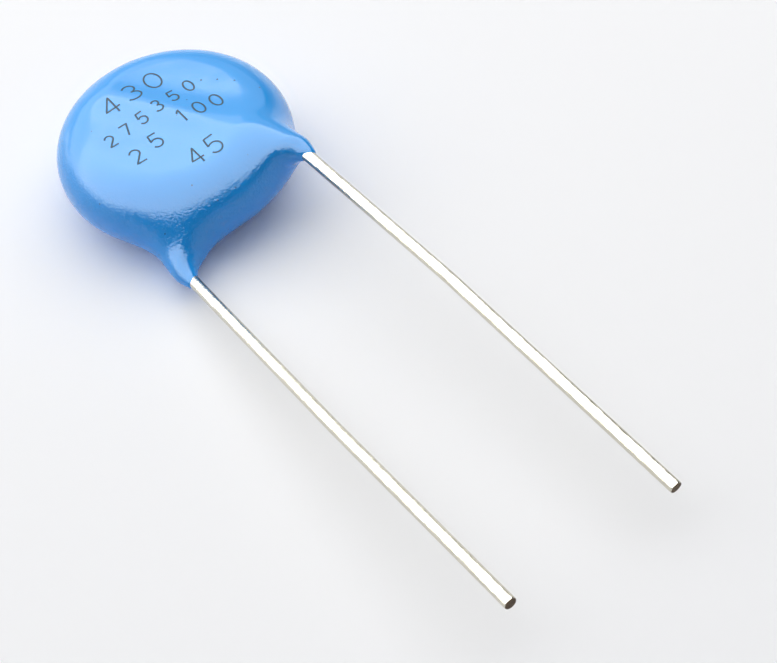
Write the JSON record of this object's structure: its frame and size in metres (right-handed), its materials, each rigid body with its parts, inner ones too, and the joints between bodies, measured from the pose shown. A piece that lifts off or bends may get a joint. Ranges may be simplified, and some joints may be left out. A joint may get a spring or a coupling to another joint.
{
  "type": "varistor",
  "caption": "Radial-lead disc varistor: a blue epoxy-coated disc with resin legs running down onto straight tinned wire leads, to be soldered into a board.",
  "frame": {"origin": "centre of the bounding box in X and Y, on the surface that the part lies on", "axes": "+Z along the disc's axis, out of the printed front face; the leads run toward -Y; X runs along the lead pitch, with the front lead on the +X side"},
  "size_m": [0.0118, 0.0368, 0.005],
  "materials": {
    "epoxy": "gloss, dipped epoxy resin",
    "ceramic": "matt, fired zinc oxide",
    "silver": "matt, fired silver paste",
    "solder": "satin, tin solder",
    "tinned_wire": "bright, tinned copper wire"
  },
  "bodies": {
    "root": {"epoxy_coating": "epoxy", "ceramic_disc": "ceramic", "front_electrode": "silver", "back_electrode": "silver", "front_solder": "solder", "back_solder": "solder", "front_lead": "tinned_wire", "back_lead": "tinned_wire"}
  },
  "joints": []
}
